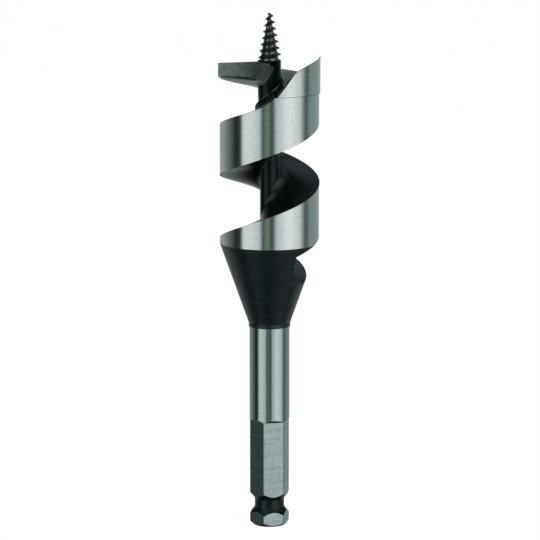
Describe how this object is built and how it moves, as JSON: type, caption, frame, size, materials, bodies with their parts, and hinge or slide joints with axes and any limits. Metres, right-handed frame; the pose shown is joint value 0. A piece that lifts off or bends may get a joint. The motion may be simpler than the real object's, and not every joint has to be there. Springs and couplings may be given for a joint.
{
  "type": "auger bit",
  "caption": "Wood auger bit with one helical flute, feed screw, single cutting lip and spur, conical shoulder, round shank and grooved hexagon drive end.",
  "frame": {"origin": "centre of the shank's flat end face", "axes": "+Z along the bit's axis from the shank end to the screw's point, -X along the cutting lip, -Y the way the lip faces"},
  "size_m": [0.032, 0.0318, 0.1628],
  "materials": {
    "ground_steel": "fine ground tool steel, bare and bright",
    "flight_steel": "forged tool steel, lands and top ground bright, flute sides black",
    "black_steel": "black oxide on forged and turned steel, slightly glossy"
  },
  "bodies": {
    "root": {"hex_end": "ground_steel", "groove_neck": "black_steel", "hex_shank": "ground_steel", "round_shank": "ground_steel", "collar": "black_steel", "shoulder_cone": "black_steel", "core": "black_steel", "lower_turn": "flight_steel", "upper_turn": "flight_steel", "head_turn": "flight_steel", "cutting_lip": "ground_steel", "spur": "ground_steel", "boss": "black_steel", "feed_screw": "black_steel"}
  },
  "joints": []
}
